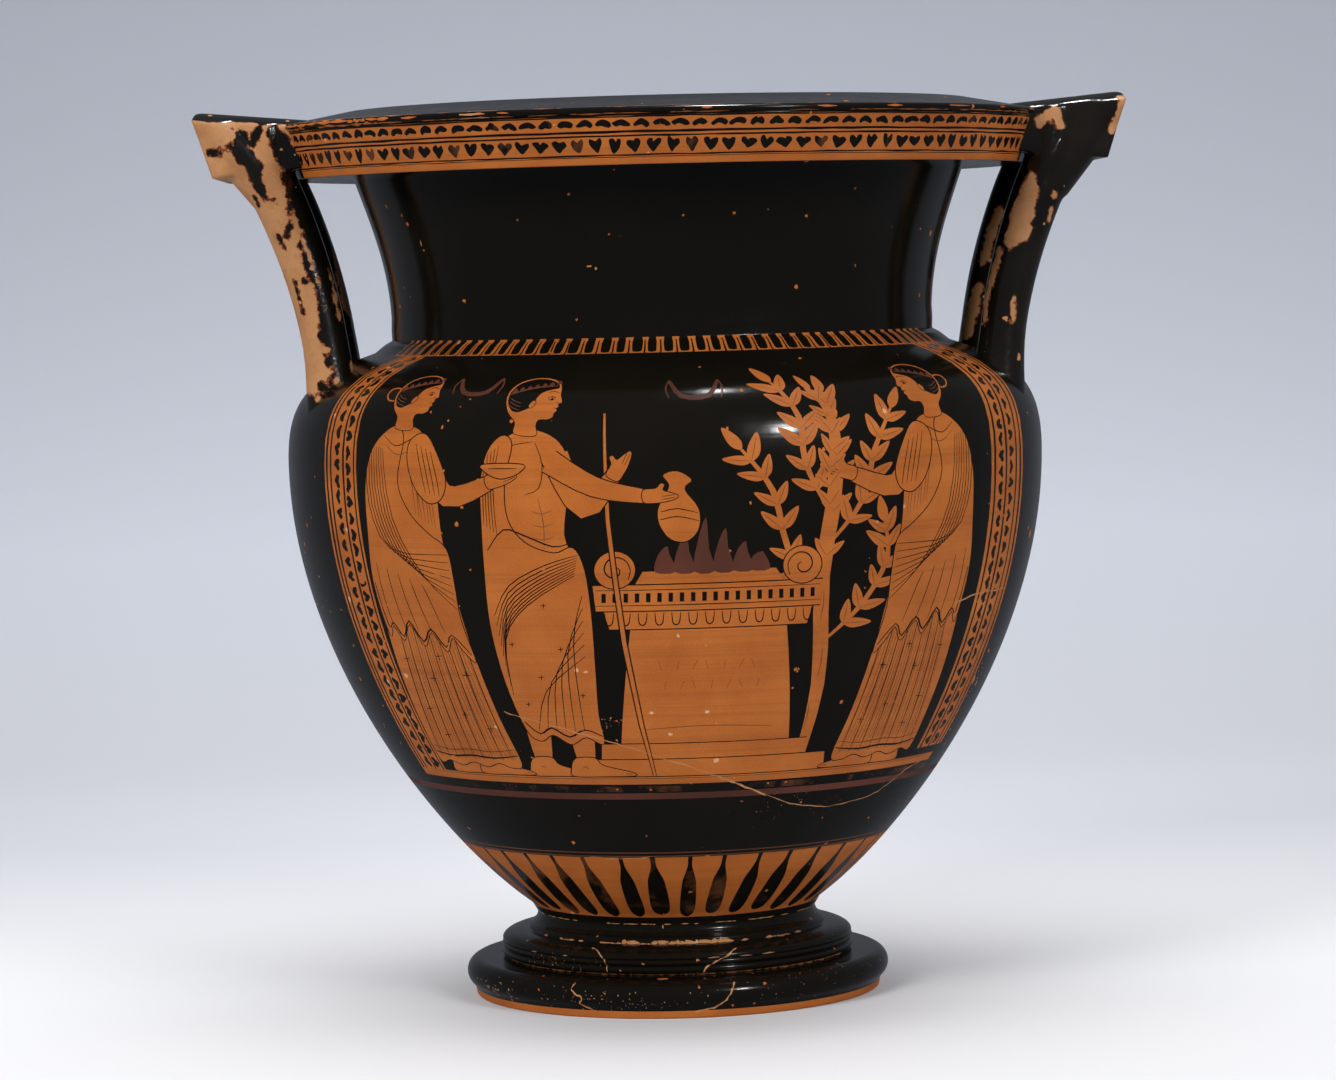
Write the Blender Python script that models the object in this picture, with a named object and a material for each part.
"""A column krater: a wide wheel-thrown mixing bowl of fired clay, made in one piece.

The bowl stands on a stepped foot and carries a flaring neck under a broad overhanging rim.
On each side two round columns rise from the shoulder to a flat plate that reaches out from
the rim. Z is up, X runs from handle to handle, and the origin is under the foot's centre,
at the level that the foot stands on. All lengths are in metres.
"""

import math

import bmesh
import bpy
from mathutils import Vector
from mathutils.geometry import interpolate_bezier

# Foot, from the standing ring up to the stem
FOOT_RADIUS = 0.0945
FOOT_EDGE_INSET = 0.0040
FOOT_EDGE_HEIGHT = 0.0049
FOOT_ROLL_HEIGHT = 0.0116
FOOT_RING_WIDTH = 0.0105
LEDGE_WIDTH = 0.0160
STEP_HEIGHT = 0.0123
STEP_ROUNDING = 0.0115
GROOVE_DEPTH = 0.0012
STEM_RADIUS = 0.0622
STEM_HEIGHT = 0.0105
STEM_FLARE = 0.0038
STEM_CURVE_RISE = 0.0012
STEM_CURVE_FALL = 0.0022

# Bowl, from the stem up to the collar at the foot of the neck
BELLY_RADIUS = 0.1678
BELLY_HEIGHT = 0.2007
SHOULDER_HEIGHT = 0.0478
COLLAR_WIDTH = 0.0078
COLLAR_HEIGHT = 0.0105
BOWL_SEAT = 0.0003

# Neck and rim
NECK_RADIUS = 0.1202
NECK_HEIGHT = 0.0687
NECK_FLARE = 0.0158
RIM_RADIUS = 0.1706
RIM_FACE_HEIGHT = 0.0205
RIM_FACE_LEAN = 0.0081
RIM_DROP = 0.0025
BEAD_HEIGHT = 0.0033
RIM_RISE = 0.0060
MOUTH_RADIUS = 0.1370
EDGE_SOFTENING = 0.0008
FACE_FOOT_ROUNDING = 0.0020
FACE_TOP_INSET = 0.0009
BEAD_PROUD = 0.0004
LIP_INSET = 0.0006
LIP_FLARE = 0.0016
LIP_DROP = 0.0030

# Thickness of the clay
WALL = 0.0065
FLOOR_THICKNESS = 0.0110

# Handles: two columns and a plate on each side
HANDLE_WIDTH = 0.1120
COLUMN_BASE_DIAMETER = 0.0250
COLUMN_DIAMETER = 0.0195
COLUMN_TOP_DIAMETER = 0.0225
COLUMN_FOOT_REACH = 0.0250
COLUMN_SINK = 0.0320
COLUMN_TOP_INSET = 0.0051
COLUMN_END_INSET = 0.0005
COLUMN_END_RISE = 0.0025
PLATE_REACH = 0.0320
PLATE_THICKNESS = 0.0285
PLATE_END_LEAN = 0.0090
PLATE_TOP_RISE = 0.0064
PLATE_ROUNDING = 0.0035
PLATE_SIDE_INSET = 0.0020
PLATE_SEAT = 0.0028
CROWN_HEIGHT = 0.0038
CROWN_WIDTH = 0.0150
RIDGE_DIAMETER = 0.0215
RIDGE_FOOT_OUT = 0.0025
RIDGE_FOOT_UP = 0.0010
RIDGE_END_INSET = 0.0115
RIDGE_END_DROP = 0.0035
LOBE_DIAMETER = 0.0170
LOBE_FOOT_OUT = 0.0016
LOBE_FOOT_UP = 0.0060
LOBE_BEND_OUT = 0.0008
LOBE_BEND_UP = 0.0045
LOBE_TOP_OUT = 0.0005
LOBE_TOP_UP = 0.0010
RIGHT_RIDGE_LIFT = 0.0000
LEFT_RIDGE_LIFT = 0.0030

# Shape of the drawn curves, as shares of the stretch that each one spans
BOWL_START_PULL = (0.345, 0.122)
BOWL_END_PULL = 0.46
SHOULDER_START_PULL = 0.554
SHOULDER_END_PULL = (0.79, 0.215)
NECK_START_PULL = 0.41
NECK_END_PULL = (0.41, 0.293)
HOLLOW_WALL_PULL = 0.60
HOLLOW_TOP_PULL = 0.50
FLOOR_PULL = 0.50
FLOOR_EDGE_RISE = 0.40
COLUMN_START_PULL = (0.024, 0.33)
COLUMN_END_PULL = (0.244, 0.63)

# Shares of the size that each one belongs to
RIDGE_LOW_SHARE = 0.16
RIDGE_GAP_SHARE = 0.36
RIDGE_HIGH_SHARE = 0.56
STEP_SHOULDER_SHARE = 0.12
STEM_FLARE_SHARE = 0.22
STEM_WAIST_SHARE = 0.72
COLLAR_BEND_SHARE = (0.25, 0.45)
COLUMN_TOP_SHARE = 0.55
COLUMN_END_SHARE = 0.85
COLUMN_FLARE_SHARE = 0.43
COLUMN_OVAL = 1.04
RIDGE_OVAL = 1.06
LOBE_OVAL = 1.25
LOBE_FOOT_SHARE = 0.6
PLATE_SLOPE_SHARE = 0.45
PLATE_INNER_SHARE = 0.4
CROWN_STATIONS = (1.0, 0.78, 0.5, 0.2, 0.0)
CROWN_MIDDLE_SHARE = 0.15
CROWN_EDGE_SHARE = 1.6

# Number of flat steps in the round shapes
LATHE_SEGMENTS = 48
TUBE_SIDES = 14

# Where the round edges start to turn, in radians
FOOT_ROLL_START = math.pi / 5
BEAD_START = math.pi / 4

# Heights of the main levels above the ground
FOOT_TOP = FOOT_EDGE_HEIGHT + FOOT_ROLL_HEIGHT
STEP_TOP = FOOT_TOP + STEP_HEIGHT
STEM_TOP = STEP_TOP + STEM_HEIGHT
BELLY_LEVEL = STEM_TOP + BELLY_HEIGHT
SHOULDER_TOP = BELLY_LEVEL + SHOULDER_HEIGHT
COLLAR_TOP = SHOULDER_TOP + COLLAR_HEIGHT
NECK_TOP = COLLAR_TOP + NECK_HEIGHT
FACE_FOOT = NECK_TOP - RIM_DROP
FACE_TOP = FACE_FOOT + RIM_FACE_HEIGHT
BEAD_TOP = FACE_TOP + BEAD_HEIGHT
MOUTH_LEVEL = BEAD_TOP + RIM_RISE

# Radii that follow from the sizes above
FOOT_EDGE_RADIUS = FOOT_RADIUS - FOOT_EDGE_INSET
STEP_RADIUS = FOOT_RADIUS - LEDGE_WIDTH
STEP_TOP_RADIUS = STEP_RADIUS - STEP_ROUNDING
COLLAR_RADIUS = NECK_RADIUS + COLLAR_WIDTH
NECK_TOP_RADIUS = NECK_RADIUS + NECK_FLARE
FLOOR_LEVEL = STEM_TOP + WALL / 3
HOLLOW_LEVEL = FLOOR_LEVEL - FLOOR_THICKNESS


def clear_scene():
    """Take away whatever the file opened with."""
    for obj in list(bpy.data.objects):
        bpy.data.objects.remove(obj, do_unlink=True)


def drawn_curve(start, start_handle, end_handle, end, steps):
    """Points along one drawn curve in the (radius, height) plane, without the first one."""
    corners = [Vector((r, z, 0)) for r, z in (start, start_handle, end_handle, end)]
    points = interpolate_bezier(*corners, steps + 1)
    return [(p.x, p.y) for p in points[1:]]


def bulge(inner_radius, outer_radius, low, high, start_turn, steps):
    """A half-round roll between two heights, from start_turn (radians) over to its top."""
    middle = (low + high) / 2
    half = (high - low) / 2
    points = []
    for i in range(steps + 1):
        turn = start_turn + (math.pi - start_turn) * i / steps
        radius = inner_radius + (outer_radius - inner_radius) * math.sin(turn)
        points.append((radius, middle - half * math.cos(turn)))
    return points


def foot_profile():
    """The standing edge, the big roll, the stepped upper degree and the stem."""
    roll_inner = FOOT_RADIUS - FOOT_ROLL_HEIGHT / 2
    groove_radius = STEP_RADIUS - 2 * GROOVE_DEPTH
    ridge_low = FOOT_TOP + STEP_HEIGHT * RIDGE_LOW_SHARE
    ridge_gap = FOOT_TOP + STEP_HEIGHT * RIDGE_GAP_SHARE
    ridge_high = FOOT_TOP + STEP_HEIGHT * RIDGE_HIGH_SHARE
    points = [(FOOT_EDGE_RADIUS, 0.0)]
    roll_foot = FOOT_EDGE_HEIGHT - EDGE_SOFTENING
    points += bulge(roll_inner, FOOT_RADIUS, roll_foot, FOOT_TOP, FOOT_ROLL_START, 6)
    points += [(groove_radius + GROOVE_DEPTH, FOOT_TOP), (groove_radius, FOOT_TOP + GROOVE_DEPTH / 2)]
    points += [(STEP_RADIUS, ridge_low), (STEP_RADIUS - GROOVE_DEPTH / 2, ridge_gap)]
    points += [(STEP_RADIUS, ridge_high)]
    rounding_handle = (STEP_RADIUS, STEP_TOP - STEP_HEIGHT * STEP_SHOULDER_SHARE)
    top_handle = (STEP_TOP_RADIUS + STEP_ROUNDING * 0.5, STEP_TOP)
    points += drawn_curve(points[-1], rounding_handle, top_handle, (STEP_TOP_RADIUS, STEP_TOP), 4)
    flare_foot = (STEM_RADIUS + STEM_FLARE, STEP_TOP + GROOVE_DEPTH / 2)
    flare_top = (STEM_RADIUS + STEM_FLARE, STEP_TOP + STEM_HEIGHT * STEM_FLARE_SHARE)
    points += [flare_foot, flare_top]
    waist = (STEM_RADIUS, STEP_TOP + STEM_HEIGHT * STEM_WAIST_SHARE)
    start_handle = (waist[0] + STEM_FLARE / 4, flare_top[1] + STEM_CURVE_RISE)
    end_handle = (waist[0], waist[1] - STEM_CURVE_FALL)
    points += drawn_curve(flare_top, start_handle, end_handle, waist, 3)
    return points


def bowl_profile(steps):
    """The lower bowl, from the stem out to the widest point."""
    start = (STEM_RADIUS + BOWL_SEAT, STEM_TOP)
    spread = BELLY_RADIUS - start[0]
    start_handle = (start[0] + BOWL_START_PULL[0] * spread, start[1] + BOWL_START_PULL[1] * BELLY_HEIGHT)
    end_handle = (BELLY_RADIUS, BELLY_LEVEL - BOWL_END_PULL * BELLY_HEIGHT)
    return [start] + drawn_curve(start, start_handle, end_handle, (BELLY_RADIUS, BELLY_LEVEL), steps)


def shoulder_profile(steps):
    """From the widest point in to the collar, without the widest point itself."""
    inset = BELLY_RADIUS - COLLAR_RADIUS
    start_handle = (BELLY_RADIUS, BELLY_LEVEL + SHOULDER_START_PULL * SHOULDER_HEIGHT)
    end_handle = (COLLAR_RADIUS + SHOULDER_END_PULL[0] * inset,
                  SHOULDER_TOP - SHOULDER_END_PULL[1] * SHOULDER_HEIGHT)
    return drawn_curve((BELLY_RADIUS, BELLY_LEVEL), start_handle, end_handle,
                       (COLLAR_RADIUS, SHOULDER_TOP), steps)


def neck_profile(steps):
    """The collar's hollow curve and the flaring neck, up to the underside of the rim."""
    bend = (NECK_RADIUS + COLLAR_WIDTH * COLLAR_BEND_SHARE[0],
            SHOULDER_TOP + COLLAR_HEIGHT * COLLAR_BEND_SHARE[1])
    foot = (NECK_RADIUS, COLLAR_TOP)
    top = (NECK_TOP_RADIUS, NECK_TOP)
    foot_handle = (NECK_RADIUS, COLLAR_TOP + NECK_START_PULL * NECK_HEIGHT)
    top_handle = (NECK_TOP_RADIUS - NECK_END_PULL[0] * NECK_FLARE, NECK_TOP - NECK_END_PULL[1] * NECK_HEIGHT)
    return [bend, foot] + drawn_curve(foot, foot_handle, top_handle, top, steps)


def rim_profile():
    """The rim's underside, slanting face, small bead and rising top, in to the mouth."""
    face_foot_radius = RIM_RADIUS - RIM_FACE_LEAN
    overhang = face_foot_radius - NECK_TOP_RADIUS
    bead_inner = RIM_RADIUS - BEAD_HEIGHT / 2
    bead = bulge(bead_inner, RIM_RADIUS + BEAD_PROUD, FACE_TOP, BEAD_TOP, BEAD_START, 3)
    return [
        (NECK_TOP_RADIUS + overhang * 0.5, NECK_TOP),
        (face_foot_radius - FACE_FOOT_ROUNDING, FACE_FOOT + EDGE_SOFTENING / 4),
        (face_foot_radius, FACE_FOOT + EDGE_SOFTENING),
        (RIM_RADIUS - FACE_TOP_INSET, FACE_TOP),
        *bead,
        (MOUTH_RADIUS, MOUTH_LEVEL),
    ]


def outer_profile():
    """The whole outside as one closed turn about the axis, with the hollow under the foot."""
    ring_inner = FOOT_EDGE_RADIUS - FOOT_RING_WIDTH
    hollow = drawn_curve((0.0, HOLLOW_LEVEL), (ring_inner * HOLLOW_TOP_PULL, HOLLOW_LEVEL),
                         (ring_inner, HOLLOW_LEVEL * HOLLOW_WALL_PULL), (ring_inner, 0.0), 6)
    outside = foot_profile() + bowl_profile(12) + shoulder_profile(6) + neck_profile(5) + rim_profile()
    return [(0.0, HOLLOW_LEVEL)] + hollow + outside + [(0.0, MOUTH_LEVEL)]


def moved_inward(points, distance):
    """The same run of points, moved square to itself towards the axis."""
    moved = []
    for i, point in enumerate(points):
        before = Vector(points[max(i - 1, 0)])
        after = Vector(points[min(i + 1, len(points) - 1)])
        along = (after - before).normalized()
        moved.append((point[0] - along.y * distance, point[1] + along.x * distance))
    return moved


def cavity_profile():
    """The inside: a round floor, the wall's thickness all the way up, and a softened mouth."""
    wall_line = bowl_profile(6)[1:] + shoulder_profile(4) + neck_profile(3)
    inside = moved_inward(wall_line, WALL)
    floor_edge = drawn_curve((0.0, FLOOR_LEVEL), (STEM_RADIUS * FLOOR_PULL, FLOOR_LEVEL),
                             (STEM_RADIUS, FLOOR_LEVEL + WALL * FLOOR_EDGE_RISE), inside[0], 3)
    lip = [
        (MOUTH_RADIUS - LIP_INSET, MOUTH_LEVEL - LIP_DROP),
        (MOUTH_RADIUS + LIP_FLARE / 8, MOUTH_LEVEL - LIP_DROP / 3),
        (MOUTH_RADIUS + LIP_FLARE, MOUTH_LEVEL + LIP_FLARE / 16),
        (MOUTH_RADIUS + LIP_FLARE, MOUTH_LEVEL + WALL),
    ]
    return [(0.0, FLOOR_LEVEL)] + floor_edge + inside[1:] + lip + [(0.0, lip[-1][1])]


def finish_mesh(name, bm):
    """Turn the work mesh into a linked object with its faces pointing out."""
    bmesh.ops.recalc_face_normals(bm, faces=bm.faces)
    mesh = bpy.data.meshes.new(name)
    bm.to_mesh(mesh)
    bm.free()
    obj = bpy.data.objects.new(name, mesh)
    bpy.context.scene.collection.objects.link(obj)
    return obj


def lathe(name, profile):
    """Turn a profile that starts and ends on the axis into a closed solid."""
    bm = bmesh.new()
    turns = [2 * math.pi * i / LATHE_SEGMENTS for i in range(LATHE_SEGMENTS)]
    rings = []
    for radius, height in profile:
        if radius == 0:
            rings.append([bm.verts.new((0, 0, height))])
        else:
            rings.append([bm.verts.new((radius * math.cos(a), radius * math.sin(a), height)) for a in turns])
    for low, high in zip(rings, rings[1:]):
        for i in range(LATHE_SEGMENTS):
            j = (i + 1) % LATHE_SEGMENTS
            corners = [low[i % len(low)], low[j % len(low)], high[j % len(high)], high[i % len(high)]]
            bm.faces.new(list(dict.fromkeys(corners)))
    return finish_mesh(name, bm)


def bar(name, path, lateral, radii, oval):
    """A round bar along a path in the (x, z) plane; oval is its sideways share of each radius."""
    bm = bmesh.new()
    rings = []
    for i, point in enumerate(path):
        before = Vector(path[max(i - 1, 0)])
        after = Vector(path[min(i + 1, len(path) - 1)])
        along = (after - before).normalized()
        ring = []
        for k in range(TUBE_SIDES):
            turn = 2 * math.pi * (k + 0.5) / TUBE_SIDES
            out = radii[i] * math.cos(turn)
            side = radii[i] * oval * math.sin(turn)
            ring.append(bm.verts.new((point[0] - along.y * out, lateral + side, point[1] + along.x * out)))
        rings.append(ring)
    for low, high in zip(rings, rings[1:]):
        for k in range(TUBE_SIDES):
            m = (k + 1) % TUBE_SIDES
            bm.faces.new((low[k], low[m], high[m], high[k]))
    bm.faces.new(rings[0])
    bm.faces.new(rings[-1])
    return finish_mesh(name, bm)


def block(name, first, second):
    """A closed block between two outlines that have the same number of corners."""
    bm = bmesh.new()
    near = [bm.verts.new(corner) for corner in first]
    far = [bm.verts.new(corner) for corner in second]
    bm.faces.new(near)
    bm.faces.new(far)
    for i in range(len(first)):
        j = (i + 1) % len(first)
        bm.faces.new((near[i], near[j], far[j], far[i]))
    return finish_mesh(name, bm)


def prism(name, outline, half_width):
    """A straight block: an outline in the (x, z) plane, carried across in Y."""
    near = [(x, -half_width, z) for x, z in outline]
    far = [(x, half_width, z) for x, z in outline]
    return block(name, near, far)


def combine(target, tool, operation):
    """Apply one exact Boolean to the target and take the tool away."""
    modifier = target.modifiers.new(operation.lower(), "BOOLEAN")
    modifier.operation = operation
    modifier.solver = "EXACT"
    modifier.object = tool
    depsgraph = bpy.context.evaluated_depsgraph_get()
    result = bpy.data.meshes.new_from_object(target.evaluated_get(depsgraph), depsgraph=depsgraph)
    target.modifiers.remove(modifier)
    target.data = result
    bpy.data.objects.remove(tool, do_unlink=True)


def handle_bars(lateral, ridge_lift):
    """One column with the ridge that sweeps out to the plate's end and the lobe by the rim."""
    foot_radius = COLUMN_DIAMETER / 2
    top_radius = COLUMN_TOP_DIAMETER / 2
    foot = (NECK_RADIUS + COLUMN_FOOT_REACH, SHOULDER_TOP - COLUMN_SINK)
    top = (RIM_RADIUS - COLUMN_TOP_INSET, NECK_TOP - COLUMN_TOP_DIAMETER * COLUMN_TOP_SHARE)
    lean = top[0] - foot[0]
    rise = top[1] - foot[1]
    start_handle = (foot[0] + lean * COLUMN_START_PULL[0], foot[1] + rise * COLUMN_START_PULL[1])
    end_handle = (foot[0] + lean * COLUMN_END_PULL[0], foot[1] + rise * COLUMN_END_PULL[1])
    column = [foot] + drawn_curve(foot, start_handle, end_handle, top, 7)
    last = len(column) - 1
    column_radii = []
    base_spread = (COLUMN_BASE_DIAMETER - COLUMN_DIAMETER) / 2
    for i in range(last + 1):
        spread = base_spread * max(0.0, 1 - i / last / COLUMN_FLARE_SHARE) ** 1.5
        column_radii.append(foot_radius + spread + (top_radius - foot_radius) * (i / last) ** 2)
    column.append((RIM_RADIUS - COLUMN_END_INSET, NECK_TOP + COLUMN_END_RISE))
    column_radii.append(top_radius * COLUMN_END_SHARE)

    ridge_radius = RIDGE_DIAMETER / 2
    ridge_foot = (top[0] + RIDGE_FOOT_OUT, top[1] + RIDGE_FOOT_UP + ridge_lift)
    ridge_end = (RIM_RADIUS + PLATE_REACH - RIDGE_END_INSET, BEAD_TOP - RIDGE_END_DROP + ridge_lift / 2)
    ridge_tip = (ridge_end[0] + PLATE_END_LEAN * 2, ridge_end[1] + PLATE_END_LEAN)
    ridge_middle = ((ridge_foot[0] + ridge_end[0]) / 2, (ridge_foot[1] + ridge_end[1]) / 2)
    ridge = [ridge_foot, ridge_middle, ridge_end, ridge_tip]

    lobe_radius = LOBE_DIAMETER / 2
    lobe_foot = (top[0] + LOBE_FOOT_OUT, top[1] + LOBE_FOOT_UP)
    lobe_bend = (lobe_foot[0] + LOBE_BEND_OUT, lobe_foot[1] + LOBE_BEND_UP)
    lobe_top = (RIM_RADIUS + LOBE_TOP_OUT, BEAD_TOP + LOBE_TOP_UP)
    lobe_radii = [lobe_radius * LOBE_FOOT_SHARE, lobe_radius, lobe_radius]
    return [
        bar("column", column, lateral, column_radii, COLUMN_OVAL),
        bar("ridge", ridge, lateral, [ridge_radius] * len(ridge), RIDGE_OVAL),
        bar("lobe", [lobe_foot, lobe_bend, lobe_top], lateral, lobe_radii, LOBE_OVAL),
    ]


def plate_outline(top_inner, top_outer, bottom_outer, bottom_inner):
    """A plate's side view, with a rounded outer top corner."""
    corner = Vector(top_outer)
    along_top = (Vector(top_inner) - corner).normalized() * PLATE_ROUNDING
    along_end = (Vector(bottom_outer) - corner).normalized() * PLATE_ROUNDING
    rounded = drawn_curve(corner + along_top, corner + along_top * 0.4,
                          corner + along_end * 0.4, corner + along_end, 3)
    return [top_inner, tuple(corner + along_top), *rounded, bottom_outer, bottom_inner]


def crowned_section(x, top):
    """A wide section across the handle whose top falls away in a curve to the plate's edges."""
    half = HANDLE_WIDTH / 2
    middle = top + CROWN_HEIGHT * CROWN_MIDDLE_SHARE
    fall = CROWN_HEIGHT * (1 + CROWN_MIDDLE_SHARE)
    edge = [(half - CROWN_WIDTH * (1 - share), middle - fall * share ** 2) for share in CROWN_STATIONS]
    low = top - PLATE_THICKNESS * 6
    right = [(half + CROWN_WIDTH, low), (half + CROWN_WIDTH, top - CROWN_HEIGHT * CROWN_EDGE_SHARE), *edge]
    left = [(-y, z) for y, z in reversed(right)]
    return [(x, y, z) for y, z in right + left]


def build_handle(ridge_lift):
    """The handle on the +X side: plate and bars in one, trimmed to the plate's end and top."""
    end = RIM_RADIUS + PLATE_REACH
    end_top = BEAD_TOP + PLATE_TOP_RISE
    end_foot = (end - PLATE_END_LEAN, end_top - PLATE_THICKNESS)
    top_slope = PLATE_TOP_RISE * PLATE_SLOPE_SHARE / PLATE_REACH
    beyond = end + PLATE_REACH
    inner = MOUTH_RADIUS + (RIM_RADIUS - MOUTH_RADIUS) * PLATE_INNER_SHARE
    inner_foot = NECK_TOP + PLATE_SEAT
    foot_slope = (end_foot[1] - inner_foot) / (end_foot[0] - inner)
    raised = end_top + CROWN_HEIGHT
    rough = [(inner, end_top - (end - inner) * top_slope), (inner * 1.06, raised), (beyond, raised),
             (beyond, inner_foot + (beyond - inner) * foot_slope), (inner, inner_foot)]
    handle = prism("plate", rough, HANDLE_WIDTH / 2 - PLATE_SIDE_INSET)
    for side in (-1, 1):
        for piece in handle_bars(side * (HANDLE_WIDTH - COLUMN_TOP_DIAMETER) / 2, ridge_lift):
            combine(handle, piece, "UNION")

    below = (end_foot[0] - PLATE_END_LEAN * 6, end_foot[1] - PLATE_THICKNESS * 6)
    keep_inner = NECK_RADIUS * 0.9
    keep_top = end_top - (end - keep_inner) * top_slope
    keep = plate_outline((keep_inner, keep_top), (end, end_top), below, (keep_inner, below[1]))
    combine(handle, prism("keep", keep, HANDLE_WIDTH), "INTERSECT")
    crown_inner = crowned_section(keep_inner, keep_top)
    crown_outer = crowned_section(beyond, end_top + (beyond - end) * top_slope)
    combine(handle, block("crown", crown_inner, crown_outer), "INTERSECT")
    return handle


def mirrored_across(obj):
    """A copy of an object, mirrored to the -X side with its faces still pointing out."""
    bm = bmesh.new()
    bm.from_mesh(obj.data)
    for vertex in bm.verts:
        vertex.co.x = -vertex.co.x
    bmesh.ops.reverse_faces(bm, faces=bm.faces)
    return finish_mesh(obj.name + "_mirrored", bm)


def clay_material():
    """Black gloss over orange clay, as one plain finish for the solid."""
    material = bpy.data.materials.new("black_gloss_clay")
    material.use_nodes = True
    shader = material.node_tree.nodes["Principled BSDF"]
    shader.inputs["Base Color"].default_value = (0.022, 0.017, 0.012, 1.0)
    shader.inputs["Roughness"].default_value = 0.28
    shader.inputs["Metallic"].default_value = 0.0
    return material


def build_krater():
    """Foot, bowl, neck, rim and both handles as one solid, then hollowed from the mouth."""
    krater = lathe("krater", outer_profile())
    combine(krater, build_handle(RIGHT_RIDGE_LIFT), "UNION")
    left = build_handle(LEFT_RIDGE_LIFT)
    combine(krater, mirrored_across(left), "UNION")
    bpy.data.objects.remove(left, do_unlink=True)
    combine(krater, lathe("cavity", cavity_profile()), "DIFFERENCE")
    krater.data.materials.clear()
    krater.data.materials.append(clay_material())
    krater.data.shade_smooth()
    krater.data.set_sharp_from_angle(angle=math.radians(40))
    return krater


clear_scene()
build_krater()
